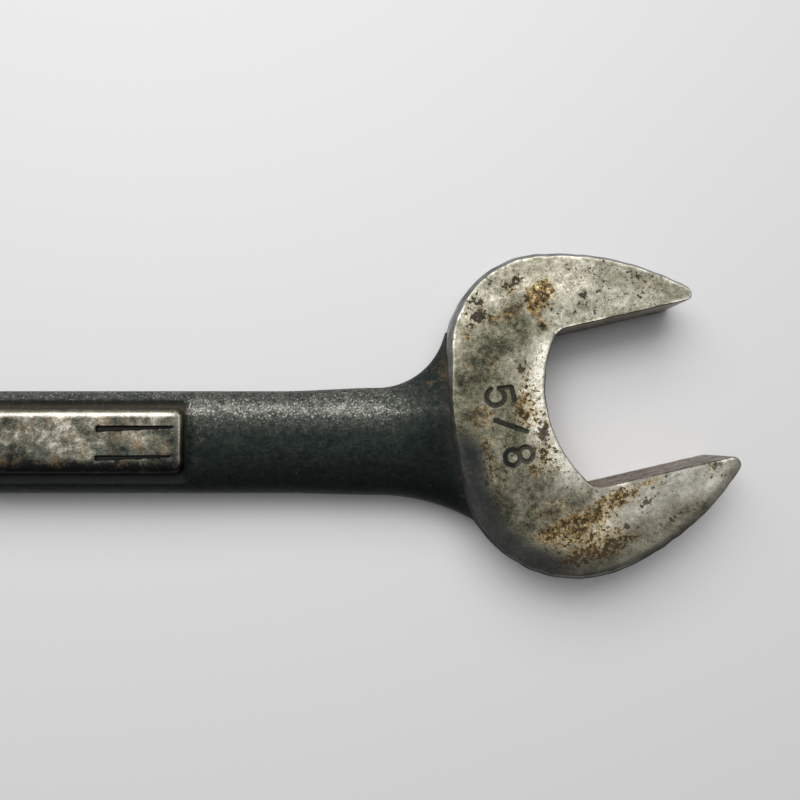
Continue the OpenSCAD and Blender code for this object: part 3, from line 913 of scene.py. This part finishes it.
def raised_panel(name, up, node):
    """A bar with rolled edges and a steep end, standing in the shank's recess, with tapering grooves."""
    w, r = PANEL_HALF_W, 1.0
    x0, x1 = PANEL_END - PANEL_LENGTH, PANEL_END
    sides = np.concatenate([
        line((x0, -w + r), (x0, w - r)), arc((x0 + r, w - r), r, 180, 90, 0.1),
        line((x0 + r, w), (x1 - r, w)), arc((x1 - r, w - r), r, 90, 0, 0.1),
        line((x1, w - r), (x1, -w + r)), arc((x1 - r, -w + r), r, 0, -90, 0.1),
        line((x1 - r, -w), (x0 + r, -w)), arc((x0 + r, -w + r), r, -90, -180, 0.1),
    ])
    loop = sides + np.array([0, PANEL_Y])
    normal = outward(loop)
    ends = np.abs(normal[:, 0])
    low_side = smooth(-normal[:, 1], 0.2, 0.9)
    roll_in = 0.22 * ends + (1 - ends) * (0.62 + 0.45 * low_side)
    roll_h = 0.16 * ends + (1 - ends) * (0.34 + 0.12 * low_side)
    foot_z, top_z = 1.5, 3.12
    rough = Waves(1.8)(loop) * 0.035
    rings = []
    lip = 0.10
    for z, inset in ((foot_z, -0.10), (2.0, -0.03), (2.45, 0.0)):
        rings.append((loop - normal * (inset + rough)[:, None], np.full(len(loop), z)))
    steps = 7
    for j in range(1, steps + 1):
        a = math.radians(90 * j / steps)
        z = top_z - roll_h * (1 - math.sin(a))
        rings.append((loop - normal * (lip + rough + roll_in * (1 - math.cos(a)))[:, None], z))
    n = len(loop)
    rim = rings[-1][0]
    groove_box = [((x1 - 10.4, -2.4), (x1 - 0.3, 2.4))]
    points = inner_points(rim, 0.28, groove_box, 0.1)
    tris = face_mesh(rim, points)

    def groove(p):
        """A tapering cut: blunt on the left, coming to a point at the panel's end."""
        out = np.zeros(len(p))
        for y, start, end, wide in ((1.32, x1 - 8.45, x1 - 0.75, 0.21), (-1.58, x1 - 8.5, x1 - 1.0, 0.16)):
            along = np.clip((p[:, 0] - start) / (end - start), 0, 1)
            half = wide * (1 - along) ** 0.6 + 0.05
            inside_x = smooth(p[:, 0], start - 0.1, start + 0.05) * smooth(p[:, 0], end + 0.2, end - 0.6)
            across = np.abs(p[:, 1] - y - 0.18 * along) / half
            out = np.maximum(out, (1 - smooth(across, 0.7, 1.25)) * inside_x)
        return out

    sign = 1 if up else -1
    wave = Waves(4.0)
    cut = groove(points)
    z_top = top_z + 0.03 * wave(points) * smooth(loop_distance(points, loop), 0.2, 1.0) - GROOVE_DEPTH * cut
    verts = [np.column_stack([p, z * sign]) for p, z in rings]
    verts.append(np.column_stack([points, z_top * sign]))
    faces = []
    for j in range(len(rings) - 1):
        a, b = j * n, (j + 1) * n
        for i in range(n):
            k = (i + 1) % n
            quad = (a + i, a + k, b + k, b + i)
            faces.append(quad[::-1] if up else quad)
    last = (len(rings) - 1) * n
    for t in tris:
        ids = tuple(last + i for i in t)
        faces.append(ids if up else ids[::-1])
    cut_tag = np.concatenate([np.zeros(n * len(rings)), cut])
    # tone: a base level with painted light: a painted highlight along the top roll and the end, painted shade
    # that deepens downward over the flat and near the ends, and painted shade on the lower roll
    flat = np.concatenate([p for p, _ in rings] + [points])
    depth = loop_distance(flat, loop)
    y = flat[:, 1] - PANEL_Y
    to_end = np.minimum(x1 - flat[:, 0], flat[:, 0] - x0)
    at_end = smooth(PANEL_HALF_W - np.abs(y), 0.3, 0.9) * smooth(to_end, 1.2, 0.5)
    at_top = smooth(y, 1.8, 2.5) * (1 - at_end)
    tone = 0.11 + 0.05 * (y + 2.0) - 0.75 * smooth(y, -1.7, -2.7)
    tone = tone * (1 - at_top) + at_top * 0.38
    tone = tone + 0.85 * at_top * np.exp(-(((depth - 0.60) / 0.17) ** 2))
    tone = tone + 0.70 * at_end * np.exp(-(((depth - 0.18) / 0.13) ** 2)) * smooth(y, -3.2, -1.5)
    tone = tone - 0.20 * smooth(to_end, 3.2, 1.2) * smooth(y, 2.2, 0.5)
    rim_tag = smooth(depth, 0.95, 0.55)
    build(name, np.concatenate(verts), faces, PANEL, (node,),
          {"rim": rim_tag, "groove": cut_tag, "tone": tone})


raised_panel("raised_panel_front", True, "front_panel")
raised_panel("raised_panel_back", False, "back_panel")

# ---------------------------------------------------------------- box end


def box_end():
    """A ring with a twelve-point hole, eased rims and a lead-in at each mouth."""
    n = 480
    ang = 2 * math.pi * np.arange(n) / n
    deg = np.degrees(ang)
    half_t = RING_T / 2
    edge, lead, bulge = 0.9, 0.7, 0.22
    # two hexagons, one turned 30 degrees, meet in the twelve points
    hexagons = [JAW_HALF / np.cos(np.radians((deg + turn) % 60 - 30)) for turn in (30, 0)]
    star = np.maximum(*hexagons)
    mouth = np.full(n, JAW_HALF / math.cos(math.pi / 6) + 0.2)
    waves = 0.03 * np.cos(3 * ang + 1) + 0.02 * np.cos(7 * ang)

    # each ring of points: its radius, its height, and its two masks, wall and inner
    outside = [(RING_R - bulge * f**2 + waves, f * (half_t - edge), 1.0, 0.0) for f in np.linspace(-1, 1, 15)]
    # the upper rim: an eased edge, the flat, and the lead-in to the hole
    upper = []
    for a in np.radians(np.linspace(15, 90, 6)):
        radius = RING_R - bulge - edge * (1 - math.cos(a)) + waves
        wall = 1 - smooth(math.degrees(a), 10, 80)
        upper.append((radius, half_t - edge + edge * math.sin(a), wall, 0.0))
    for f in np.linspace(0.15, 1, 6):
        upper.append(((RING_R - bulge - edge) * (1 - f) + mouth * f, half_t, 0.0, 0.0))
    for f in (0.5, 1.0):
        upper.append(((mouth - lead * f) * (1 - f) + star * f, half_t - lead * f, 0.6, 1.0))
    hole = [(star, f * (half_t - lead), 1.0, 1.0) for f in np.linspace(1, -1, 13)[1:-1]]
    lower = [(radius, -z, wall, inner) for radius, z, wall, inner in reversed(upper)]
    profile = outside + upper + hole + lower

    c, s = math.cos(RING_TILT), math.sin(RING_TILT)
    verts, wall, inner = [], [], []
    for r, z, w, i in profile:
        u, v = r * np.cos(ang), r * np.sin(ang)
        verts.append(np.column_stack([RING_X + u * c + z * s, v, RING_RISE - u * s + z * c]))
        wall.append(np.full(n, w))
        inner.append(np.full(n, i))
    rows = len(profile)
    faces = []
    for j in range(rows):
        a, b = j * n, (j + 1) % rows * n
        faces += [(a + i, a + (i + 1) % n, b + (i + 1) % n, b + i) for i in range(n)]
    verts = np.concatenate(verts)
    q = np.stack([verts[:, 0] - RING_X, verts[:, 1]], 1)
    clouds = Waves(7.0)
    cloud = np.clip(0.5 + 0.35 * clouds(q), 0, 1)
    wall, inner = np.concatenate(wall), np.concatenate(inner)
    zero = np.zeros(len(verts))
    masks = {
        "wall": wall,
        "inner": inner,
        "tone": 0.85 - 0.5 * cloud,
        "amber": 0.5 * (1 - cloud),
        "spots": zero,
        "pits": 0.3 + 0.4 * cloud,
        "low_edge_shade": zero,
        "groove": zero,
    }
    build("box_end_ring_piece", verts, faces, GROUND, ("box_end_ring",), masks, sharp=30)


box_end()

# ---------------------------------------------------------------- floor, light and camera


def plain_material(name, colour, rough):
    m = bpy.data.materials.new(name)
    m.use_nodes = True
    b = m.node_tree.nodes["Principled BSDF"]
    b.inputs["Base Color"].default_value = (*colour, 1)
    b.inputs["Roughness"].default_value = rough
    b.inputs["Specular IOR Level"].default_value = 0.3
    return m


# Metres, in the row frame, and watts
FLOOR_HALF = 1.2
AIM = (0.06, 0, 0)
LAMPS = (
    # name, place, width, height, power, colour
    ("window", (0.0, 0.18, 0.26), 0.34, 0.24, 0.72, (1.0, 0.99, 0.98)),
    ("ceiling", (0.04, 0.16, 0.50), 0.5, 0.4, 1.22, (1.0, 0.995, 0.99)),
)
SKY, SKY_STRENGTH = (0.95, 0.98, 1.0, 1), 0.10


def studio():
    """A pale floor under the wrench, two soft lamps beyond it and a faint sky."""
    size = FLOOR_HALF
    mesh = bpy.data.meshes.new("floor")
    corners = [(-size, -size, 0), (size, -size, 0), (size, size, 0), (-size, size, 0)]
    mesh.from_pydata(corners, [], [(0, 1, 2, 3)])
    floor = bpy.data.objects.new("floor", mesh)
    mesh.materials.append(plain_material("pale_floor", (0.80, 0.80, 0.805), 0.5))
    bpy.context.scene.collection.objects.link(floor)
    world = bpy.data.worlds.new("studio")
    world.use_nodes = True
    sky = world.node_tree.nodes["Background"]
    sky.inputs["Color"].default_value = SKY
    sky.inputs["Strength"].default_value = SKY_STRENGTH
    bpy.context.scene.world = world

    for name, place, wide, high, power, colour in LAMPS:
        data = bpy.data.lights.new(name, "AREA")
        data.shape = "RECTANGLE"
        data.size = wide
        data.size_y = high
        data.energy = power
        data.color = colour
        lamp = bpy.data.objects.new(name, data)
        lamp.location = place
        lamp.rotation_euler = (Vector(AIM) - Vector(place)).to_track_quat("-Z", "Y").to_euler()
        bpy.context.scene.collection.objects.link(lamp)


studio()

# The camera, in the shank's frame: over the neck, about 74 mm above the head's face, looking down and
# leaning a little towards the upper jaw
CAMERA_AT = (-24.8, 0.92, 77.6)
CAMERA_LEAN = math.radians(2.52)

camera_data = bpy.data.cameras.new("camera")
camera_data.lens = 33.75
camera_data.sensor_width = 36
camera_data.clip_start = 0.001
camera = bpy.data.objects.new("camera", camera_data)
camera.location = (Vector(CAMERA_AT) - Vector(ORIGIN)) * MM
camera.rotation_euler = (CAMERA_LEAN, 0, 0)
bpy.context.scene.collection.objects.link(camera)
bpy.context.scene.camera = camera
bpy.context.scene.view_settings.view_transform = "Standard"
